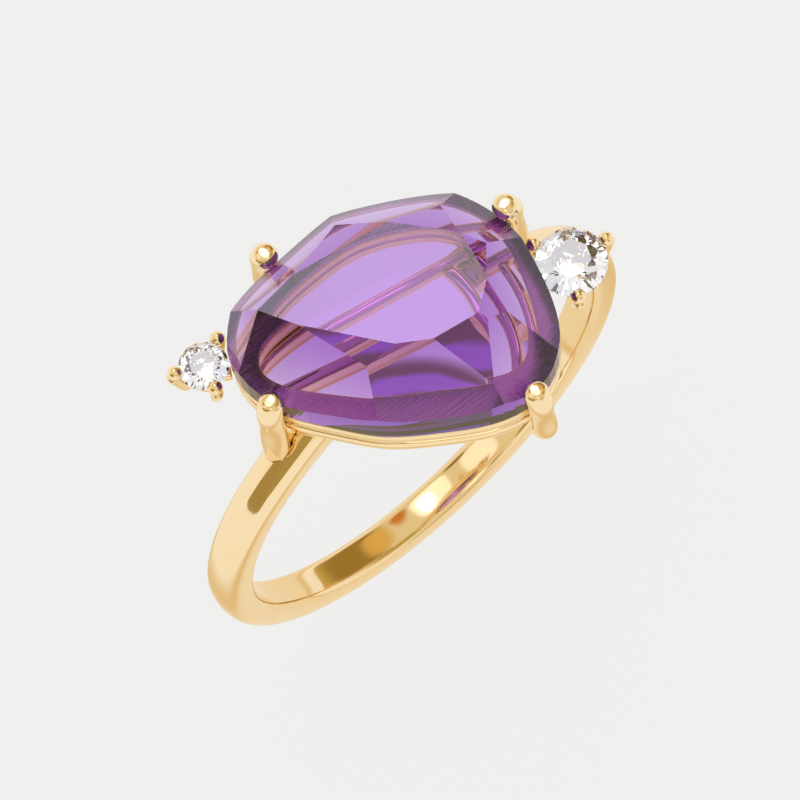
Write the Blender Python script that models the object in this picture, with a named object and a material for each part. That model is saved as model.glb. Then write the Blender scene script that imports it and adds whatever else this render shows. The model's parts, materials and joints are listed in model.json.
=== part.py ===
"""Cocktail ring: a pear-shaped amethyst in four claws on a two-rail gallery, with a larger and a
smaller round diamond in claw baskets at its two ends, on a plain gold band.

The origin is the middle of the band's inner face, opposite the stones, where the ring rests on the
finger. +Y runs along the finger and +Z points to the big stone. Dimensions are in millimetres from
the centre of the finger hole, and each mesh is lifted and scaled to metres when it is finished.
The gold pieces are soldered to each other, so neighbours stand one solder seam apart.
"""

import math

import bmesh
import bpy
from mathutils import Matrix, Vector

METRES = 0.001
SEAM = 0.03  # solder seam, and the fit of a stone in its setting
MERGE = 0.002  # corners closer than this are one corner

# Band
FINGER_RADIUS = 8.65  # inside diameter 17.3 mm
BAND_THICKNESS = 1.32
BAND_WIDTH = 1.66
BAND_OUTER_ROUND = 0.5
BAND_INNER_ROUND = 0.34
BAND_CROWN = 0.06  # how far the outer face is domed
BAND_END_ANGLE = 19.0  # from +Z to each end of the band, under the gallery
SHOULDER_RISE = 0.3  # extra thickness where the band meets the gallery
SHOULDER_SPAN = 26.0  # degrees over which the shoulder rises

# Pear-shaped stone: the radius of its outline is a mean plus waves. Each wave has a number of crests
# round the outline, a height and the bearing of one crest, in degrees from +X seen from +Z.
OUTLINE_CENTRE_X = -0.1
OUTLINE_RADIUS = 5.0
OUTLINE_WAVES = ((1, 0.27, -30), (2, 0.78, -37), (3, 0.32, 38), (4, 0.08, 43), (5, 0.14, 8))
OUTLINE_STEPS = 90
STONE_BACK = 10.55
TABLE_HEIGHT = 14.3
BACK_BEVEL = 0.16
CUT_HEIGHT = 11.8  # the level at which each crown facet's distance is given
# Cutting diagram of the crown: bearing of each facet, its slope, and its distance from the ring's axis
CROWN_FACETS = (
    (-125, 44.0, 4.62),
    (-154, 49.0, 4.5),
    (144, 63.5, 5.87),
    (94, 57.0, 4.48),
    (58, 54.0, 4.37),
    (13, 49.0, 5.35),
    (-30, 50.0, 5.55),
    (-76, 44.0, 5.85),
    (-145, 30.0, 6.24),
    (-101, 34.0, 6.11),
    (-55, 31.0, 7.45),
    (-13, 27.5, 8.05),
    (38, 34.0, 6.25),
    (78, 34.0, 5.95),
)

# Gallery
RAIL_WIDTH = 1.35
FRONT_LEDGE = 0.95  # extra width of the rails at the front
FRONT_LEDGE_BEARING = -112.0
UPPER_RAIL_HEIGHT = 0.64
LOWER_RAIL_HEIGHT = 0.64
RAIL_CREVICE = 0.1
RAIL_ROUND = 0.2
RAIL_STEPS = 60
BAR_WIDTH = 0.5
BAR_HEIGHT = 0.56
BAR_ROUND = 0.15
BAR_BEARINGS = (158.0, 6.0, -78.0)  # where the bars meet the rail: left, right and front
BAR_FORK = 0.88  # share of the bridge bar's length at which the cross bar leaves it
CROSS_BAR_BOW = 0.9
CROSS_BAR_STEPS = 8

# Claws of the big stone, by name and bearing round the outline
CENTRE_CLAWS = {
    "centre_claw_back_right": 1.0,
    "centre_claw_back_left": 112.0,
    "centre_claw_front_left": 175.5,
    "centre_claw_front_right": -73.0,
}
CLAW_TIP_RADIUS = 0.5
CLAW_POST_RADIUS = 0.46
CLAW_FOOT_RADIUS = 0.53
CLAW_FOOT_RISE = 0.2  # of a free foot above the lower rail's underside
CLAW_RISE = 0.88  # of the tip above the edge of the crown
CLAW_LEAN = 0.16  # distance of the tip's axis outside the girdle
CLAW_SIDES = 14

# Side stones
LARGE_RADIUS = 1.33
LARGE_BEARING = -22.0
LARGE_CLAW_ANGLES = {"back": 114.0, "outer": -11.0, "front": -122.0}
SMALL_RADIUS = 0.92
SMALL_BEARING = 148.0
SMALL_CLAW_ANGLES = {"back": 20.0, "outer": 158.0, "front": -106.0}
SIDE_CLEARANCE = 0.05  # between a side stone and the big stone
SIDE_GIRDLE_HEIGHT = 10.45
SIDE_CLAW_RADIUS = 0.24
SIDE_TIP_RADIUS = 0.31
SIDE_TIP_TURNS = (-48, -20, 8, 36, 64, 82)  # degrees up the ball of the tip
SIDE_FOOT = 0.1
BASKET_DEPTH = 0.75
BASKET_DEPTH_SHARE = 0.55
SEAT_RING_LEVEL = 0.42
BASE_RING_LIFT = 0.05
DIAMOND_SIDES = 32
BRILLIANT_SHAPE = (0.56, 0.31, 0.84, 0.03)  # table, crown, pavilion and half girdle, as shares of the radius
STAR_REACH = 0.79
LOWER_HALF_REACH = 0.24
LOWER_HALF_DEPTH = 0.66
SIDE_TIP_OUT = 0.14  # of the ball's middle, outside the side stone's edge
SIDE_TIP_RISE = 0.27  # of the ball's middle, above the side stone's edge
SIDE_CLAW_SIDES = 10
BASKET_TAPER = 0.42  # how far the claws lean in towards the basket's foot, as a share of the radius
COLLET_WIDTH = 0.28
COLLET_ROUND = 0.1
COLLET_SIDES = 28
SEAT_RING_HEIGHT = 0.26
BASE_RING_HEIGHT = 0.3
ARM_WIDTH = 0.5
ARM_HEIGHT = 0.42

UP = Vector((0, 0, 1))


# Helpers


def material(name, colour, metallic, roughness, transmission=0.0, ior=1.5):
    mat = bpy.data.materials.new(name)
    mat.use_nodes = True
    shader = mat.node_tree.nodes["Principled BSDF"]
    shader.inputs["Base Color"].default_value = (*colour, 1)
    shader.inputs["Metallic"].default_value = metallic
    shader.inputs["Roughness"].default_value = roughness
    shader.inputs["Transmission Weight"].default_value = transmission
    shader.inputs["IOR"].default_value = ior
    return mat


def gold(name):
    return material(name, (0.93, 0.66, 0.28), 1.0, 0.12)


def finish(name, bm, mat, smooth_angle=40.0):
    """Turn a bmesh in millimetres about the finger hole's centre into a named object in metres."""
    bmesh.ops.recalc_face_normals(bm, faces=bm.faces)
    bm.transform(Matrix.Scale(METRES, 4) @ Matrix.Translation(UP * FINGER_RADIUS))
    mesh = bpy.data.meshes.new(name)
    bm.to_mesh(mesh)
    bm.free()
    mesh.materials.append(mat)
    if smooth_angle:
        mesh.shade_smooth()
        mesh.set_sharp_from_angle(angle=math.radians(smooth_angle))
    obj = bpy.data.objects.new(name, mesh)
    bpy.context.collection.objects.link(obj)
    return obj


def skin(sections, loop=False):
    """A closed surface through sections that each have the same number of points."""
    bm = bmesh.new()
    rings = [[bm.verts.new(p) for p in section] for section in sections]
    pairs = list(zip(rings, rings[1:]))
    if loop:
        pairs.append((rings[-1], rings[0]))
    for low, high in pairs:
        for i in range(len(low)):
            j = (i + 1) % len(low)
            bm.faces.new((low[i], low[j], high[j], high[i]))
    if not loop:
        bm.faces.new(reversed(rings[0]))
        bm.faces.new(rings[-1])
    return bm


def cut(bm, point, normal):
    """Cut away what lies beyond a plane and close the solid with one flat face."""
    everything = bm.verts[:] + bm.edges[:] + bm.faces[:]
    result = bmesh.ops.bisect_plane(
        bm, geom=everything, dist=0.0001, plane_co=point, plane_no=normal, clear_outer=True
    )
    edges = [e for e in result["geom_cut"] if isinstance(e, bmesh.types.BMEdge) and e.is_boundary]
    bmesh.ops.edgeloop_fill(bm, edges=edges)


def rounded_rectangle(half_width, half_height, corner, steps=3):
    """Outline of a bar's section, anticlockwise, as (across, up) pairs."""
    points = []
    for quarter in range(4):
        middle_angle = math.radians(45 + 90 * quarter)
        cx = math.copysign(half_width - corner, math.cos(middle_angle))
        cy = math.copysign(half_height - corner, math.sin(middle_angle))
        for step in range(steps):
            angle = math.radians(90 * quarter + 90 * step / (steps - 1))
            points.append((cx + corner * math.cos(angle), cy + corner * math.sin(angle)))
    return points


def circle(centre, axis, radius, sides):
    """Points of a circle about an axis."""
    across = axis.orthogonal().normalized()
    along = axis.cross(across).normalized()
    angles = [2 * math.pi * i / sides for i in range(sides)]
    return [centre + radius * (math.cos(a) * across + math.sin(a) * along) for a in angles]


def tube(points, radii, sides):
    """A rod with a varying radius along a line of points."""
    sections = []
    reference = None
    for i, (point, radius) in enumerate(zip(points, radii)):
        before, after = points[max(i - 1, 0)], points[min(i + 1, len(points) - 1)]
        axis = (after - before).normalized()
        reference = reference or axis.orthogonal().normalized()
        across = (reference - axis * reference.dot(axis)).normalized()
        along = axis.cross(across)
        angles = [2 * math.pi * k / sides for k in range(sides)]
        sections.append([point + radius * (math.cos(a) * across + math.sin(a) * along) for a in angles])
        reference = across
    return skin(sections)


# The pear outline


def outline_point(bearing, offset=0.0, height=0.0):
    """A point at a distance outside the stone's outline, at a height."""
    radius, slope = OUTLINE_RADIUS, 0.0
    for crests, wave, crest in OUTLINE_WAVES:
        angle = crests * math.radians(bearing - crest)
        radius += wave * math.cos(angle)
        slope -= crests * wave * math.sin(angle)
    out = bearing_vector(bearing)
    return out * radius + Vector((OUTLINE_CENTRE_X, 0, height)) + outward(out, radius, slope) * offset


def bearing_vector(bearing):
    return Vector((math.cos(math.radians(bearing)), math.sin(math.radians(bearing)), 0))


def outward(out, radius, slope):
    """The outline's outward direction, where its radius changes by the slope per radian."""
    side = UP.cross(out)
    return (out * radius - side * slope).normalized()


def outline_outward(bearing):
    return (outline_point(bearing, 1.0) - outline_point(bearing)).normalized()


# Band


def band_section(angle):
    """The band's section at an angle from +Z, towards +X. The shoulders thicken outwards."""
    from_end = min(angle, 360 - angle) - BAND_END_ANGLE
    rise = max(0.0, 1 - from_end / SHOULDER_SPAN)
    thickness = BAND_THICKNESS + SHOULDER_RISE * rise * rise * (3 - 2 * rise)
    half = BAND_WIDTH / 2
    profile = []
    corners = (
        (FINGER_RADIUS + thickness - BAND_OUTER_ROUND, half - BAND_OUTER_ROUND, BAND_OUTER_ROUND, 0),
        (FINGER_RADIUS + BAND_INNER_ROUND, half - BAND_INNER_ROUND, BAND_INNER_ROUND, 90),
        (FINGER_RADIUS + BAND_INNER_ROUND, BAND_INNER_ROUND - half, BAND_INNER_ROUND, 180),
        (FINGER_RADIUS + thickness - BAND_OUTER_ROUND, BAND_OUTER_ROUND - half, BAND_OUTER_ROUND, 270),
    )
    for radial, across, corner, start in corners:
        for step in range(4):
            a = math.radians(start + 30 * step)
            profile.append((radial + corner * math.cos(a), across + corner * math.sin(a)))
    profile.append((FINGER_RADIUS + thickness + BAND_CROWN, 0.0))
    t = math.radians(angle)
    return [Vector((r * math.sin(t), y, r * math.cos(t))) for r, y in profile]


def make_shank():
    steps = 73  # odd, so that one face lies level opposite the stones
    span = 360 - 2 * BAND_END_ANGLE
    sections = [band_section(BAND_END_ANGLE + span * i / steps) for i in range(steps + 1)]
    bm = skin(sections)
    cut(bm, UP * (lower_rail_bottom() - SEAM), UP)
    return finish("shank", bm, gold("shank_gold"))


# Gallery


def upper_rail_bottom():
    return STONE_BACK - SEAM - UPPER_RAIL_HEIGHT


def lower_rail_bottom():
    return upper_rail_bottom() - RAIL_CREVICE - LOWER_RAIL_HEIGHT


def rail_width(bearing):
    """The rails are widest at the front, where they make a ledge under the stone."""
    share = (1 + math.cos(math.radians(bearing - FRONT_LEDGE_BEARING))) / 2
    return RAIL_WIDTH + FRONT_LEDGE * share * share


def make_rail(name, bottom, height):
    """A flat rail that follows the stone's outline, its outer edge under the girdle."""
    middle = bottom + height / 2
    sections = []
    for i in range(RAIL_STEPS):
        bearing = 360 * i / RAIL_STEPS
        half = rail_width(bearing) / 2
        profile = rounded_rectangle(half, height / 2, RAIL_ROUND)
        sections.append([outline_point(bearing, x - half, middle + z) for x, z in profile])
    return finish(name, skin(sections, loop=True), gold(name + "_gold"))


def make_bar(name, points, start_normal, end_normal, middle, width=BAR_WIDTH, height=BAR_HEIGHT):
    """A level bar along a line of points, its ends cut to fit between its neighbours."""
    profile = rounded_rectangle(width / 2, height / 2, BAR_ROUND)
    sections = []
    for i, point in enumerate(points):
        before, after = points[max(i - 1, 0)], points[min(i + 1, len(points) - 1)]
        across = (after - before).normalized().cross(UP)
        sections.append([point + across * x + UP * (middle + z) for x, z in profile])
    bm = skin(sections)
    cut(bm, points[0], start_normal)
    cut(bm, points[-1], end_normal)
    return finish(name, bm, gold(name + "_gold"))


def make_bars():
    """One bar along the gallery, and a curved one from it to the front rail."""
    middle = lower_rail_bottom() + LOWER_RAIL_HEIGHT / 2
    left, right, front = (
        outline_point(bearing, -rail_width(bearing) - 2 * SEAM) for bearing in BAR_BEARINGS
    )
    left_out, right_out, front_out = (outline_outward(bearing) for bearing in BAR_BEARINGS)
    make_bar("bridge_bar", [left, right], left_out, right_out, middle)
    along = (right - left).normalized()
    side = along.cross(UP)
    start = left + (right - left) * BAR_FORK + side * (BAR_WIDTH / 2 + SEAM)
    bend = (start + front) / 2 + along * CROSS_BAR_BOW
    curve = []
    for i in range(CROSS_BAR_STEPS + 1):
        u = i / CROSS_BAR_STEPS
        curve.append(start * (1 - u) ** 2 + bend * 2 * u * (1 - u) + front * u * u)
    make_bar("cross_bar", curve, -side, front_out, middle)


# Claws of the big stone


def crown_height(point):
    """Height of the crown's surface above a point."""
    heights = [TABLE_HEIGHT]
    for facet in CROWN_FACETS:
        on_facet, normal = facet_plane(*facet)
        heights.append(on_facet.z - normal.dot(Vector((point.x, point.y, on_facet.z)) - on_facet) / normal.z)
    return min(heights)


def make_centre_claw(name, bearing):
    """A post outside the rails that thickens to its foot and leans over the girdle at its tip."""
    foot = lower_rail_bottom() + CLAW_FOOT_RISE
    edge = crown_height(outline_point(bearing))
    top = edge + CLAW_RISE
    on_band = abs(outline_point(bearing, CLAW_FOOT_RADIUS).y) < BAND_WIDTH / 2
    foot_offset = CLAW_FOOT_RADIUS + 2 * SEAM
    post_offset = CLAW_POST_RADIUS + SEAM
    stations = [
        (foot_offset, foot - 1.6, CLAW_FOOT_RADIUS),
        (foot_offset, foot + 0.3, CLAW_FOOT_RADIUS),
        (post_offset + 0.03, foot + 1.2, CLAW_POST_RADIUS + 0.02),
        (post_offset, edge - 0.5, CLAW_POST_RADIUS),
        (post_offset + 0.02, edge + 0.1, CLAW_TIP_RADIUS),
        (CLAW_LEAN + 0.12, top - 0.36, CLAW_TIP_RADIUS),
        (CLAW_LEAN + 0.04, top - 0.18, CLAW_TIP_RADIUS * 0.93),
        (CLAW_LEAN, top - 0.05, CLAW_TIP_RADIUS * 0.68),
        (CLAW_LEAN, top, CLAW_TIP_RADIUS * 0.3),
    ]
    if not on_band:
        stations[0:1] = [
            (foot_offset, foot, CLAW_FOOT_RADIUS * 0.4),
            (foot_offset, foot + 0.08, CLAW_FOOT_RADIUS * 0.8),
        ]
    points = [outline_point(bearing, offset, height) for offset, height, _ in stations]
    bm = tube(points, [radius for _, _, radius in stations], CLAW_SIDES)
    if on_band:
        seat_on_band(bm, points[0])
    return finish(name, bm, gold(name + "_gold"), smooth_angle=60)


def seat_on_band(bm, point):
    """Cut a foot off where it meets the band's outer face."""
    radial = Vector((point.x, 0, math.sqrt((FINGER_RADIUS + BAND_THICKNESS) ** 2 - point.x**2)))
    radial.normalize()
    rise = BAND_THICKNESS + SHOULDER_RISE + BAND_CROWN + SEAM
    cut(bm, radial * (FINGER_RADIUS + rise), -radial)


# Stones


def facet_plane(bearing, slope, distance):
    """A point and the outward direction of a crown facet."""
    out = bearing_vector(bearing)
    tilt = math.radians(slope)
    return out * distance + UP * CUT_HEIGHT, out * math.sin(tilt) + UP * math.cos(tilt)


def make_amethyst():
    """A flat-backed pear with an upright girdle wall, a faceted crown and a wide table."""
    sections = []
    for offset, height in ((-BACK_BEVEL, STONE_BACK), (0, STONE_BACK + BACK_BEVEL), (0, TABLE_HEIGHT)):
        bearings = [360 * i / OUTLINE_STEPS for i in range(OUTLINE_STEPS)]
        sections.append([outline_point(bearing, offset, height) for bearing in bearings])
    bm = skin(sections)
    for facet in CROWN_FACETS:
        cut(bm, *facet_plane(*facet))
    bmesh.ops.remove_doubles(bm, verts=bm.verts, dist=MERGE)
    mat = material("amethyst_stone", (0.45, 0.16, 0.72), 0.0, 0.02, transmission=1.0, ior=1.545)
    return finish("amethyst", bm, mat, smooth_angle=None)


def outward_plane(a, b, c):
    """The plane through three points, facing away from the middle of a side stone."""
    normal = (b - a).cross(c - a).normalized()
    return (a, normal) if normal.dot(a) > 0 else (a, -normal)


def brilliant_planes(radius):
    """Facet planes of a round brilliant, about its own girdle."""
    table, crown, pavilion, girdle = (radius * share for share in BRILLIANT_SHAPE)
    planes = [(UP * crown, UP)]

    def polar(angle, distance, height):
        a = math.radians(angle)
        return Vector((distance * math.cos(a), distance * math.sin(a), height))

    for i in range(8):
        a = 45 * i
        across = Vector((-math.sin(math.radians(a)), math.cos(math.radians(a)), 0))
        corner = polar(a, table, crown)
        edge = polar(a, radius, girdle)
        planes.append(outward_plane(edge, edge + across, corner))
        keel = polar(a, radius, -girdle)
        planes.append(outward_plane(keel, keel + across, UP * -pavilion))
        star = polar(a + 22.5, STAR_REACH * radius, (crown + girdle) / 2)
        planes.append(outward_plane(corner, polar(a + 45, table, crown), star))
        low = polar(a + 22.5, LOWER_HALF_REACH * radius, -LOWER_HALF_DEPTH * pavilion)
        for end, turn in ((a, 22.5), (a + 45, -22.5)):
            middle = polar(end + turn, radius, girdle)
            planes.append(outward_plane(star, polar(end, radius, girdle), middle))
            middle = polar(end + turn, radius, -girdle)
            planes.append(outward_plane(low, polar(end, radius, -girdle), middle))
    return planes


def make_diamond(name, centre, radius):
    """A round brilliant cut from a cylinder, facet by facet."""
    bm = skin([circle(UP * h * radius, UP, radius, DIAMOND_SIDES) for h in (-1.0, 0.5)])
    for point, normal in brilliant_planes(radius):
        cut(bm, point, normal)
    bmesh.ops.remove_doubles(bm, verts=bm.verts, dist=MERGE)
    bm.transform(Matrix.Translation(centre))
    mat = material(name + "_stone", (0.97, 0.98, 1.0), 0.0, 0.0, transmission=1.0, ior=2.42)
    return finish(name, bm, mat, smooth_angle=None)


# Side settings


def make_collet_ring(name, centre, outer, height, drop):
    """A ring inside a basket's claws."""
    profile = rounded_rectangle(COLLET_WIDTH / 2, height / 2, COLLET_ROUND)
    sections = []
    for i in range(COLLET_SIDES):
        out = bearing_vector(360 * i / COLLET_SIDES)
        sections.append([centre + out * (outer - COLLET_WIDTH / 2 + x) + UP * (z - drop) for x, z in profile])
    return finish(name, skin(sections, loop=True), gold(name + "_gold"))


def basket_depth(radius):
    return BASKET_DEPTH + BASKET_DEPTH_SHARE * radius


def claw_distance(radius, drop):
    """Distance of a side claw's axis from the basket's axis, at a drop below the girdle."""
    lean = BASKET_TAPER * radius * min(1.0, max(0.0, drop / basket_depth(radius)))
    return radius + SIDE_CLAW_RADIUS + SEAM - lean


def make_side_claw(name, centre, radius, angle):
    """A thin post that spreads from the basket's foot and ends in a ball over the stone's edge."""
    out = bearing_vector(angle)
    depth = basket_depth(radius)
    stations = [(claw_distance(radius, depth), -depth - SIDE_FOOT, SIDE_CLAW_RADIUS * 0.6)]
    for share in (1.0, 0.66, 0.33, 0.0):
        stations.append((claw_distance(radius, depth * share), -depth * share, SIDE_CLAW_RADIUS))
    for turn in SIDE_TIP_TURNS:
        t = math.radians(turn)
        height = SIDE_TIP_RISE + SIDE_TIP_RADIUS * math.sin(t)
        stations.append((radius + SIDE_TIP_OUT, height, SIDE_TIP_RADIUS * math.cos(t)))
    points = [centre + out * distance + UP * height for distance, height, _ in stations]
    bm = tube(points, [width for _, _, width in stations], SIDE_CLAW_SIDES)
    return finish(name, bm, gold(name + "_gold"), smooth_angle=60)


def make_side_setting(size, bearing, radius, claw_angles):
    """A diamond in a basket of three claws and two rings, with an arm from the gallery's lower rail."""
    reach = radius + SIDE_CLEARANCE
    centre = outline_point(bearing, reach, SIDE_GIRDLE_HEIGHT)
    make_diamond(size + "_diamond", centre, radius)
    depth = basket_depth(radius)
    rings = (
        ("seat_ring", depth * SEAT_RING_LEVEL, SEAT_RING_HEIGHT),
        ("base_ring", depth - BASE_RING_LIFT, BASE_RING_HEIGHT),
    )
    for part, drop, height in rings:
        outer = claw_distance(radius, drop + height / 2) - SIDE_CLAW_RADIUS - SEAM
        make_collet_ring(f"{size}_basket_{part}", centre, outer, height, drop)
    for place, angle in claw_angles.items():
        make_side_claw(f"{size}_claw_{place}", centre, radius, angle)
    away = outline_outward(bearing)
    start = outline_point(bearing, 2 * SEAM)
    end = outline_point(bearing, reach - outer - 2 * SEAM)
    level = lower_rail_bottom() + ARM_HEIGHT / 2
    make_bar(size + "_setting_arm", [start, end], -away, away, level, ARM_WIDTH, ARM_HEIGHT)


def build():
    for obj in list(bpy.data.objects):
        bpy.data.objects.remove(obj, do_unlink=True)
    make_shank()
    make_rail("upper_gallery_rail", upper_rail_bottom(), UPPER_RAIL_HEIGHT)
    make_rail("lower_gallery_rail", lower_rail_bottom(), LOWER_RAIL_HEIGHT)
    make_bars()
    for name, bearing in CENTRE_CLAWS.items():
        make_centre_claw(name, bearing)
    make_amethyst()
    make_side_setting("large", LARGE_BEARING, LARGE_RADIUS, LARGE_CLAW_ANGLES)
    make_side_setting("small", SMALL_BEARING, SMALL_RADIUS, SMALL_CLAW_ANGLES)


build()
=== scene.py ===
"""Looks of the cocktail ring: polished gold, a purple pear-cut stone and two diamonds, on a pale floor.

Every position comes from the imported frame. Lengths are in metres, and MM turns millimetres into metres.
"""

import json
import math

import bmesh
import bpy
from mathutils import Matrix, Vector


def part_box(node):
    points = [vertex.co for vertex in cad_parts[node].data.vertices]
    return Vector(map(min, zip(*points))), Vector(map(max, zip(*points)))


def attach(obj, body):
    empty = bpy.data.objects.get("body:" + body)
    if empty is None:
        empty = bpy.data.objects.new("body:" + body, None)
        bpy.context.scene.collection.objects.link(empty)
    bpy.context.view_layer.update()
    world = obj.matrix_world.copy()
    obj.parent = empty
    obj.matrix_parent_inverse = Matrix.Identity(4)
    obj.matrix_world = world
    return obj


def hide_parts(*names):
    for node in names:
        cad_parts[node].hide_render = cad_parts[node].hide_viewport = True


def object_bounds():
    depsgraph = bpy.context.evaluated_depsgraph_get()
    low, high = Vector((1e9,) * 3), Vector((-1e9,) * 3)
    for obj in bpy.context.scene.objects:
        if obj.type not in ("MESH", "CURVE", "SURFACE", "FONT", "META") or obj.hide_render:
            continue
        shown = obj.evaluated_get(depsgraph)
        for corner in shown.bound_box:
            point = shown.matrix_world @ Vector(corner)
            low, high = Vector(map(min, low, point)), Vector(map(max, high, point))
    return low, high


MM = 0.001

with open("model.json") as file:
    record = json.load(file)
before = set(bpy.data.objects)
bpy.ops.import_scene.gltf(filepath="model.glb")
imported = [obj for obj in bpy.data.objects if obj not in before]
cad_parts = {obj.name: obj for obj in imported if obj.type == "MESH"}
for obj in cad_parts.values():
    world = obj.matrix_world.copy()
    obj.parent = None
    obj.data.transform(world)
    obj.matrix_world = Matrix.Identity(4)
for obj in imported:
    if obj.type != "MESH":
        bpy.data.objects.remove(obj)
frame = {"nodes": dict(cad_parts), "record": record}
cad_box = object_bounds()

# Camera, about the centre of the finger hole
AZIMUTH = -31.46
ELEVATION = 69.37
ROLL = -11.04
DISTANCE = 166.7 * MM
LENS = 197.3
AIM_RIGHT = -0.555 * MM
AIM_UP = 1.095 * MM


def slot_of(node):
    for entry in frame["record"]["subparts"]:
        if entry["node"] == node:
            return entry["material_slot"]
    return None


def finger_hole_centre():
    low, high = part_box("shank")
    return Vector(((low.x + high.x) / 2, (low.y + high.y) / 2, low.z + (high.x - low.x) / 2))


# Material helpers


def new_material(name):
    mat = bpy.data.materials.new(name)
    mat.use_nodes = True
    return mat, mat.node_tree.nodes, mat.node_tree.links


def noise(nodes, links, coords, scale, detail):
    texture = nodes.new("ShaderNodeTexNoise")
    texture.inputs["Scale"].default_value = scale
    texture.inputs["Detail"].default_value = detail
    links.new(coords, texture.inputs["Vector"])
    return texture.outputs["Fac"]


def span(nodes, links, value, low, high):
    """A node that stretches a value between 0 and 1 over a range."""
    stretch = nodes.new("ShaderNodeMapRange")
    stretch.inputs["To Min"].default_value = low
    stretch.inputs["To Max"].default_value = high
    links.new(value, stretch.inputs["Value"])
    return stretch.outputs["Result"]


def tone(nodes, links, value, dark, light):
    """A ramp between two colours over the middle of a value's range."""
    ramp = nodes.new("ShaderNodeValToRGB")
    for element, place, colour in zip(ramp.color_ramp.elements, (0.3, 0.7), (dark, light)):
        element.position = place
        element.color = (*colour, 1)
    links.new(value, ramp.inputs["Fac"])
    return ramp.outputs["Color"]


GOLD_DARK = (0.93, 0.74, 0.43)
GOLD_LIGHT = (0.96, 0.78, 0.49)
PATCHES = (260.0, 3.0)  # scale and detail of the noise in the gold's colour
SCUFFS = (2500.0, 4.0)
POLISHED_ROUGHNESS = (0.04, 0.11)
BRUSH_LINES = (9000.0, 3.0)
BRUSH_TURN = math.radians(-25)
BRUSH_STRETCH = (0.08, 1.0, 0.3)
BRUSHED_ROUGHNESS = (0.12, 0.4)
BRUSH_STRENGTH = 0.35
BRUSH_DEPTH = 0.03 * MM


def gold_material(name, brushed=False):
    """Yellow gold: polished with faint scuffs, or brushed with fine level lines for the rail's top."""
    mat, nodes, links = new_material(name)
    shader = nodes["Principled BSDF"]
    shader.inputs["Metallic"].default_value = 1.0
    coords = nodes.new("ShaderNodeTexCoord").outputs["Object"]
    patches = noise(nodes, links, coords, *PATCHES)
    links.new(tone(nodes, links, patches, GOLD_DARK, GOLD_LIGHT), shader.inputs["Base Color"])
    if brushed:
        squeeze = nodes.new("ShaderNodeMapping")
        squeeze.inputs["Rotation"].default_value = (0, 0, BRUSH_TURN)
        squeeze.inputs["Scale"].default_value = BRUSH_STRETCH
        links.new(coords, squeeze.inputs["Vector"])
        lines = noise(nodes, links, squeeze.outputs["Vector"], *BRUSH_LINES)
        links.new(span(nodes, links, lines, *BRUSHED_ROUGHNESS), shader.inputs["Roughness"])
        relief = nodes.new("ShaderNodeBump")
        relief.inputs["Strength"].default_value = BRUSH_STRENGTH
        relief.inputs["Distance"].default_value = BRUSH_DEPTH
        links.new(lines, relief.inputs["Height"])
        links.new(relief.outputs["Normal"], shader.inputs["Normal"])
    else:
        scuffs = noise(nodes, links, coords, *SCUFFS)
        links.new(span(nodes, links, scuffs, *POLISHED_ROUGHNESS), shader.inputs["Roughness"])
    return mat


STONE_CLOUDS = (400.0, 2.0)
AMETHYST_IOR = 1.545
AMETHYST_PASSED = (0.55, 0.12, 0.79)
AMETHYST_DENSITY = 400.0
DIAMOND_IOR = 2.417


def stone_material(name, dark, light, ior):
    """A clear stone with a faint cloudiness of colour."""
    mat, nodes, links = new_material(name)
    shader = nodes["Principled BSDF"]
    coords = nodes.new("ShaderNodeTexCoord").outputs["Object"]
    clouds = noise(nodes, links, coords, *STONE_CLOUDS)
    links.new(tone(nodes, links, clouds, dark, light), shader.inputs["Base Color"])
    shader.inputs["Transmission Weight"].default_value = 1.0
    shader.inputs["Roughness"].default_value = 0.0
    shader.inputs["IOR"].default_value = ior
    return mat


def amethyst_material():
    """Clear purple quartz: the colour deepens with the length of the light's path inside."""
    mat = stone_material("faceted_amethyst", (0.94, 0.87, 0.97), (0.97, 0.93, 0.99), AMETHYST_IOR)
    nodes, links = mat.node_tree.nodes, mat.node_tree.links
    absorb = nodes.new("ShaderNodeVolumeAbsorption")
    absorb.inputs["Color"].default_value = (*AMETHYST_PASSED, 1)
    absorb.inputs["Density"].default_value = AMETHYST_DENSITY
    links.new(absorb.outputs["Volume"], nodes["Material Output"].inputs["Volume"])
    return mat


# Gold pieces


WELD = 0.001 * MM
FLAT_ANGLE = math.radians(25)  # between triangles that are joined into one quad
QUAD_SKEW = math.radians(100)
CREASE_ANGLE = math.radians(50)
CREASE = 0.8
ROUNDING_STEPS = 2


def polished_copy(node, mat):
    """A fine, smooth version of a gold CAD solid, in the same place."""
    bm = bmesh.new()
    bm.from_mesh(frame["nodes"][node].data)
    bmesh.ops.remove_doubles(bm, verts=bm.verts, dist=WELD)
    bmesh.ops.join_triangles(
        bm,
        faces=bm.faces,
        angle_face_threshold=FLAT_ANGLE,
        angle_shape_threshold=QUAD_SKEW,
    )
    bmesh.ops.recalc_face_normals(bm, faces=bm.faces)
    crease = bm.edges.layers.float.new("crease_edge")
    for edge in bm.edges:
        if edge.calc_face_angle(0) > CREASE_ANGLE:
            edge[crease] = CREASE
    mesh = bpy.data.meshes.new("fine_" + node)
    bm.to_mesh(mesh)
    bm.free()
    mesh.materials.append(mat)
    mesh.shade_smooth()
    piece = bpy.data.objects.new("fine_" + node, mesh)
    bpy.context.scene.collection.objects.link(piece)
    rounding = piece.modifiers.new("Rounding", "SUBSURF")
    rounding.levels = rounding.render_levels = ROUNDING_STEPS
    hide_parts(node)
    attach(piece, "root")
    return piece


# Studio


def share(nodes, links, value, start, end):
    """A node that rises from 0 to 1 while a value goes from start to end."""
    step = nodes.new("ShaderNodeMapRange")
    step.interpolation_type = "SMOOTHSTEP"
    step.inputs["From Min"].default_value = start
    step.inputs["From Max"].default_value = end
    links.new(value, step.inputs["Value"])
    return step.outputs["Result"]


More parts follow.
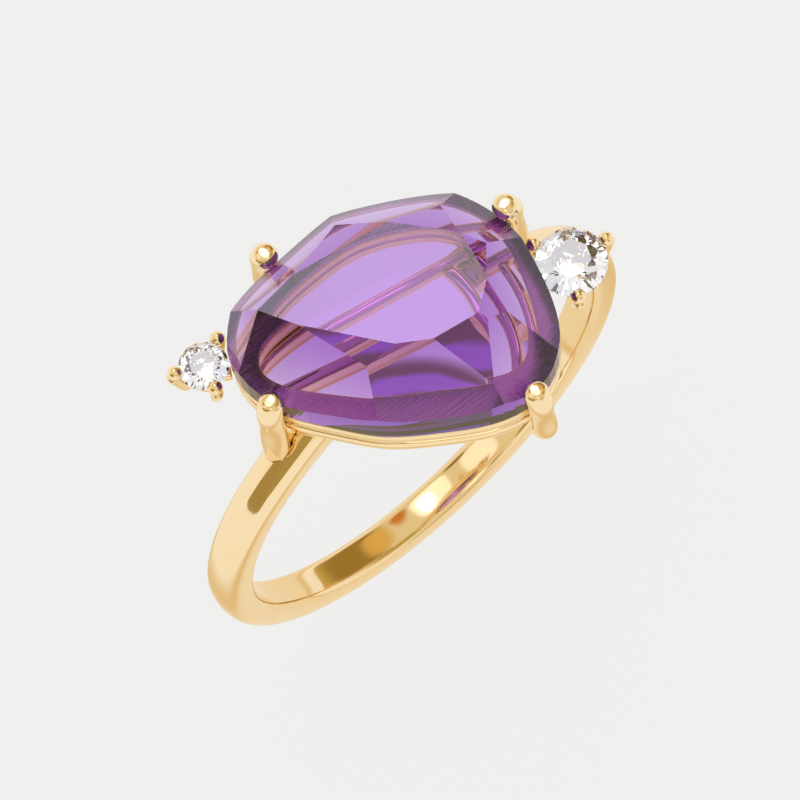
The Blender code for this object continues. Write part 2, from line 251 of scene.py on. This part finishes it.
def blend_colour(nodes, links, factor, below, above):
    """A node that mixes two colours, each a socket or a plain colour."""
    mix = nodes.new("ShaderNodeMix")
    mix.data_type = "RGBA"
    links.new(factor, mix.inputs["Factor"])
    for key, colour in (("A", below), ("B", above)):
        if isinstance(colour, tuple):
            mix.inputs[key].default_value = (*colour, 1)
        else:
            links.new(colour, mix.inputs[key])
    return mix.outputs["Result"]


def sky(nodes, links, direction, low, high, panels):
    """A colour that goes from the horizon's to the one overhead, with round panels laid over it."""
    axes = nodes.new("ShaderNodeSeparateXYZ")
    links.new(direction, axes.inputs["Vector"])
    last = blend_colour(nodes, links, share(nodes, links, axes.outputs["Z"], 0.0, SKY_RISE), low, high)
    for middle, inner, outer, colour in panels:
        dot = nodes.new("ShaderNodeVectorMath")
        dot.operation = "DOT_PRODUCT"
        dot.inputs[1].default_value = Vector(middle).normalized()
        links.new(direction, dot.inputs[0])
        limits = (math.cos(math.radians(angle)) for angle in (outer, inner))
        last = blend_colour(nodes, links, share(nodes, links, dot.outputs["Value"], *limits), last, colour)
    return last


BACKDROP = (0.885, 0.885, 0.885)
SKY_RISE = 0.75  # height, as a sine, at which the sky reaches its overhead colour

# Panels: direction, radius and outer edge in degrees, colour. The metal's are placed for the main view, where
# they darken the shoulder and the inside of the band. Later panels lie over earlier ones.
SOFT_BOX = ((0.184, 0.3, 0.936), 4, 5.5, (3.8, 3.7, 3.8))
METAL_HORIZON = (1.0, 0.95, 0.88)
METAL_ZENITH = (0.8, 0.7, 0.5)
METAL_PANELS = (
    ((0.12, 0.34, 0.93), 11, 13, (1.25, 1.22, 1.15)),
    ((-0.42, 0.3, 0.85), 9, 12, (1.1, 1.07, 1.0)),
    ((-0.2, 0.55, 0.81), 6, 8, (0.3, 0.2, 0.07)),
    ((-0.99, 0.02, 0.12), 20, 22, (0.4, 0.29, 0.1)),
    ((-0.85, -0.3, 0.4), 17, 19, (0.42, 0.31, 0.11)),
    ((0.97, 0.29, 0.0), 8, 20, (0.6, 0.42, 0.14)),
    ((0.84, 0.32, 0.44), 14, 26, (0.34, 0.22, 0.05)),
    ((0.68, 0.3, 0.67), 2, 12, (0.75, 0.48, 0.14)),
    ((0.44, 0.38, 0.82), 3, 7, (0.6, 0.22, 0.04)),
    ((0.6, -0.25, 0.77), 10, 24, (0.5, 0.38, 0.13)),
    ((0.1, -0.98, 0.12), 10, 24, (0.62, 0.5, 0.33)),
    ((-0.4, -0.5, 0.77), 5, 12, (0.35, 0.26, 0.1)),
    SOFT_BOX,
)
STONE_HORIZON = (1.0, 1.0, 1.0)
STONE_ZENITH = (1.05, 1.05, 1.08)
STONE_PANELS = (
    ((0.12, 0.34, 0.93), 12, 14, (2.6, 2.6, 2.6)),
    ((0.5, -0.6, 0.6), 12, 16, (0.12, 0.12, 0.14)),
    ((-0.7, 0.5, 0.5), 12, 16, (0.15, 0.14, 0.15)),
    ((0.5, 0.8, 0.45), 10, 14, (0.2, 0.2, 0.24)),
    ((-0.4, -0.8, 0.5), 12, 16, (0.12, 0.12, 0.14)),
    ((-0.2, 0.1, 0.97), 6, 9, (0.16, 0.14, 0.14)),
    SOFT_BOX,
)


def studio_world():
    """A warm studio for the metal to mirror, and a whiter one for light that passes through the stones."""
    world = bpy.data.worlds.new("studio")
    bpy.context.scene.world = world
    world.use_nodes = True
    nodes, links = world.node_tree.nodes, world.node_tree.links
    direction = nodes.new("ShaderNodeTexCoord").outputs["Generated"]
    mirrored = sky(nodes, links, direction, METAL_HORIZON, METAL_ZENITH, METAL_PANELS)
    passed = sky(nodes, links, direction, STONE_HORIZON, STONE_ZENITH, STONE_PANELS)
    path = nodes.new("ShaderNodeLightPath").outputs
    seen = blend_colour(nodes, links, path["Is Transmission Ray"], mirrored, passed)
    seen = blend_colour(nodes, links, path["Is Camera Ray"], seen, BACKDROP)
    links.new(seen, nodes["Background"].inputs["Color"])


KEY_DIRECTION = (-0.3, -0.5, 1.0)
KEY_DISTANCE = 0.3
KEY_SIZE = 0.08
KEY_RADIANCE = 1.0


def soft_light(name, direction, distance, size, radiance):
    """A square soft box that looks at the centre of the finger hole."""
    light = bpy.data.lights.new(name, "AREA")
    light.size = size
    light.energy = radiance * math.pi * size * size
    lamp = bpy.data.objects.new(name, light)
    bpy.context.scene.collection.objects.link(lamp)
    lamp.location = finger_hole_centre() + Vector(direction).normalized() * distance
    lamp.rotation_mode = "QUATERNION"
    lamp.rotation_quaternion = Vector(direction).to_track_quat("Z", "Y")
    return lamp


def pale_floor():
    """A wide pale floor just under the band."""
    mesh = bpy.data.meshes.new("floor")
    z = cad_box[0].z - FLOOR_GAP
    corners = [(x * FLOOR_HALF, y * FLOOR_HALF, z) for x, y in ((-1, -1), (1, -1), (1, 1), (-1, 1))]
    mesh.from_pydata(corners, [], [(0, 1, 2, 3)])
    floor = bpy.data.objects.new("floor", mesh)
    bpy.context.scene.collection.objects.link(floor)
    mat, nodes, links = new_material("pale_floor")
    shader = nodes["Principled BSDF"]
    shader.inputs["Base Color"].default_value = (*FLOOR_PAINT, 1)
    shader.inputs["Roughness"].default_value = FLOOR_ROUGHNESS
    shader.inputs["Specular IOR Level"].default_value = 0.0
    glow = nodes.new("ShaderNodeEmission")
    links.new(floor_light(nodes, links), glow.inputs["Color"])
    mix = nodes.new("ShaderNodeMixShader")
    mix.inputs["Fac"].default_value = FLOOR_GLOW
    links.new(shader.outputs[0], mix.inputs[1])
    links.new(glow.outputs[0], mix.inputs[2])
    links.new(mix.outputs[0], nodes["Material Output"].inputs["Surface"])
    mesh.materials.append(mat)


FLOOR_HALF = 1.5
FLOOR_GAP = 0.02 * MM
FLOOR_PAINT = (0.85, 0.85, 0.85)
FLOOR_ROUGHNESS = 0.9
FLOOR_GLOW = 0.9
FLOOR_TONE = (0.893, 0.898, 0.905)
# Painted shade on the floor about the ring, seen only in the metal's reflections: warm near the ring, amber
# further out, white beyond.
NEAR_FLOOR = (0.93, 0.84, 0.7)
AMBER_SHADE_FLOOR = (0.8, 0.62, 0.36)
FAR_FLOOR = (1.02, 1.0, 1.0)
AMBER_START = 9 * MM
AMBER_MIDDLE = 14 * MM
AMBER_END = 24 * MM
# A round patch of painted shade on the floor, in soft dark plum bands, seen only by light that has passed
# through a stone.
SHADE_PATCH_MIDDLE = Vector((10.2, 15.7, 0)) * MM  # on the floor, where the front facets look in the main view
SHADE_PATCH_RADIUS = 4.9 * MM
SHADE_PATCH_EDGE = 0.1  # soft part of the edge, as a share of the radius
SHADE_PATCH_BANDS = 190.0
SHADE_PATCH_WAVER = 5.0
SHADE_PATCH_DETAIL = 2.0
SHADE_PATCH_DARK = (0.17, 0.05, 0.08)
SHADE_PATCH_LIGHT = (0.42, 0.16, 0.62)


def painted_shade_colour(nodes, links, coords):
    """Painted shade: soft dark plum bands on the floor, for the front facets to show."""
    bands = nodes.new("ShaderNodeTexWave")
    bands.bands_direction = "DIAGONAL"
    bands.inputs["Scale"].default_value = SHADE_PATCH_BANDS
    bands.inputs["Distortion"].default_value = SHADE_PATCH_WAVER
    bands.inputs["Detail"].default_value = SHADE_PATCH_DETAIL
    links.new(coords, bands.inputs["Vector"])
    return tone(nodes, links, bands.outputs["Fac"], SHADE_PATCH_DARK, SHADE_PATCH_LIGHT)


def mirrored_floor_shade(nodes, links, coords):
    """Painted shade about the ring, seen only in the metal's reflections: warm light near the ring, a darker
    amber ring about it and white light further out.
    """
    length = nodes.new("ShaderNodeVectorMath")
    length.operation = "LENGTH"
    links.new(coords, length.inputs[0])
    away = length.outputs["Value"]
    amber = share(nodes, links, away, AMBER_START, AMBER_MIDDLE)
    white = share(nodes, links, away, AMBER_MIDDLE, AMBER_END)
    near = blend_colour(nodes, links, amber, NEAR_FLOOR, AMBER_SHADE_FLOOR)
    return blend_colour(nodes, links, white, near, FAR_FLOOR)


def floor_light(nodes, links):
    """The floor's colour, which depends on the kind of ray that meets it.

    The camera sees it plain. The metal mirrors it tinted, with painted shade about the ring. Light that has
    passed through a stone meets a round patch of painted shade in soft dark plum bands, which gives the front
    facets their dark bands.
    """
    coords = nodes.new("ShaderNodeTexCoord").outputs["Object"]
    apart = nodes.new("ShaderNodeVectorMath")
    apart.operation = "DISTANCE"
    apart.inputs[1].default_value = SHADE_PATCH_MIDDLE
    links.new(coords, apart.inputs[0])
    shade_patch_edge = (SHADE_PATCH_RADIUS * (1 - SHADE_PATCH_EDGE), SHADE_PATCH_RADIUS * (1 + SHADE_PATCH_EDGE))
    outside = share(nodes, links, apart.outputs["Value"], *shade_patch_edge)
    through = blend_colour(nodes, links, outside, painted_shade_colour(nodes, links, coords), FLOOR_TONE)
    path = nodes.new("ShaderNodeLightPath").outputs
    mirrored = mirrored_floor_shade(nodes, links, coords)
    seen = blend_colour(nodes, links, path["Is Transmission Ray"], mirrored, through)
    return blend_colour(nodes, links, path["Is Camera Ray"], seen, FLOOR_TONE)


def place_camera():
    azimuth, elevation, roll = (math.radians(a) for a in (AZIMUTH, ELEVATION, ROLL))
    back = Vector(
        (
            math.sin(azimuth) * math.cos(elevation),
            -math.cos(azimuth) * math.cos(elevation),
            math.sin(elevation),
        )
    )
    right = Vector((math.cos(azimuth), math.sin(azimuth), 0))
    up = back.cross(right)
    right, up = (
        right * math.cos(roll) + up * math.sin(roll),
        up * math.cos(roll) - right * math.sin(roll),
    )
    data = bpy.data.cameras.new("camera")
    data.lens = LENS
    data.clip_start = 1 * MM
    camera = bpy.data.objects.new("camera", data)
    bpy.context.scene.collection.objects.link(camera)
    place = finger_hole_centre() + back * DISTANCE + right * AIM_RIGHT + up * AIM_UP
    camera.matrix_world = Matrix(
        (
            (right.x, up.x, back.x, place.x),
            (right.y, up.y, back.y, place.y),
            (right.z, up.z, back.z, place.z),
            (0, 0, 0, 1),
        )
    )
    bpy.context.scene.camera = camera


polished = gold_material("polished_yellow_gold")
brushed = gold_material("brushed_yellow_gold", brushed=True)
clear = stone_material("faceted_diamond", (0.97, 0.97, 0.98), (1.0, 1.0, 1.0), DIAMOND_IOR)
stones = {"amethyst": amethyst_material(), "diamond": clear}
for node, solid in frame["nodes"].items():
    slot = slot_of(node)
    if slot == "yellow_gold":
        polished_copy(node, brushed if node == "upper_gallery_rail" else polished)
    else:
        solid.data.materials.clear()
        solid.data.materials.append(stones[slot])

studio_world()
soft_light("key", KEY_DIRECTION, KEY_DISTANCE, KEY_SIZE, KEY_RADIANCE)
pale_floor()
place_camera()
scene = bpy.context.scene
scene.view_settings.view_transform = "Standard"
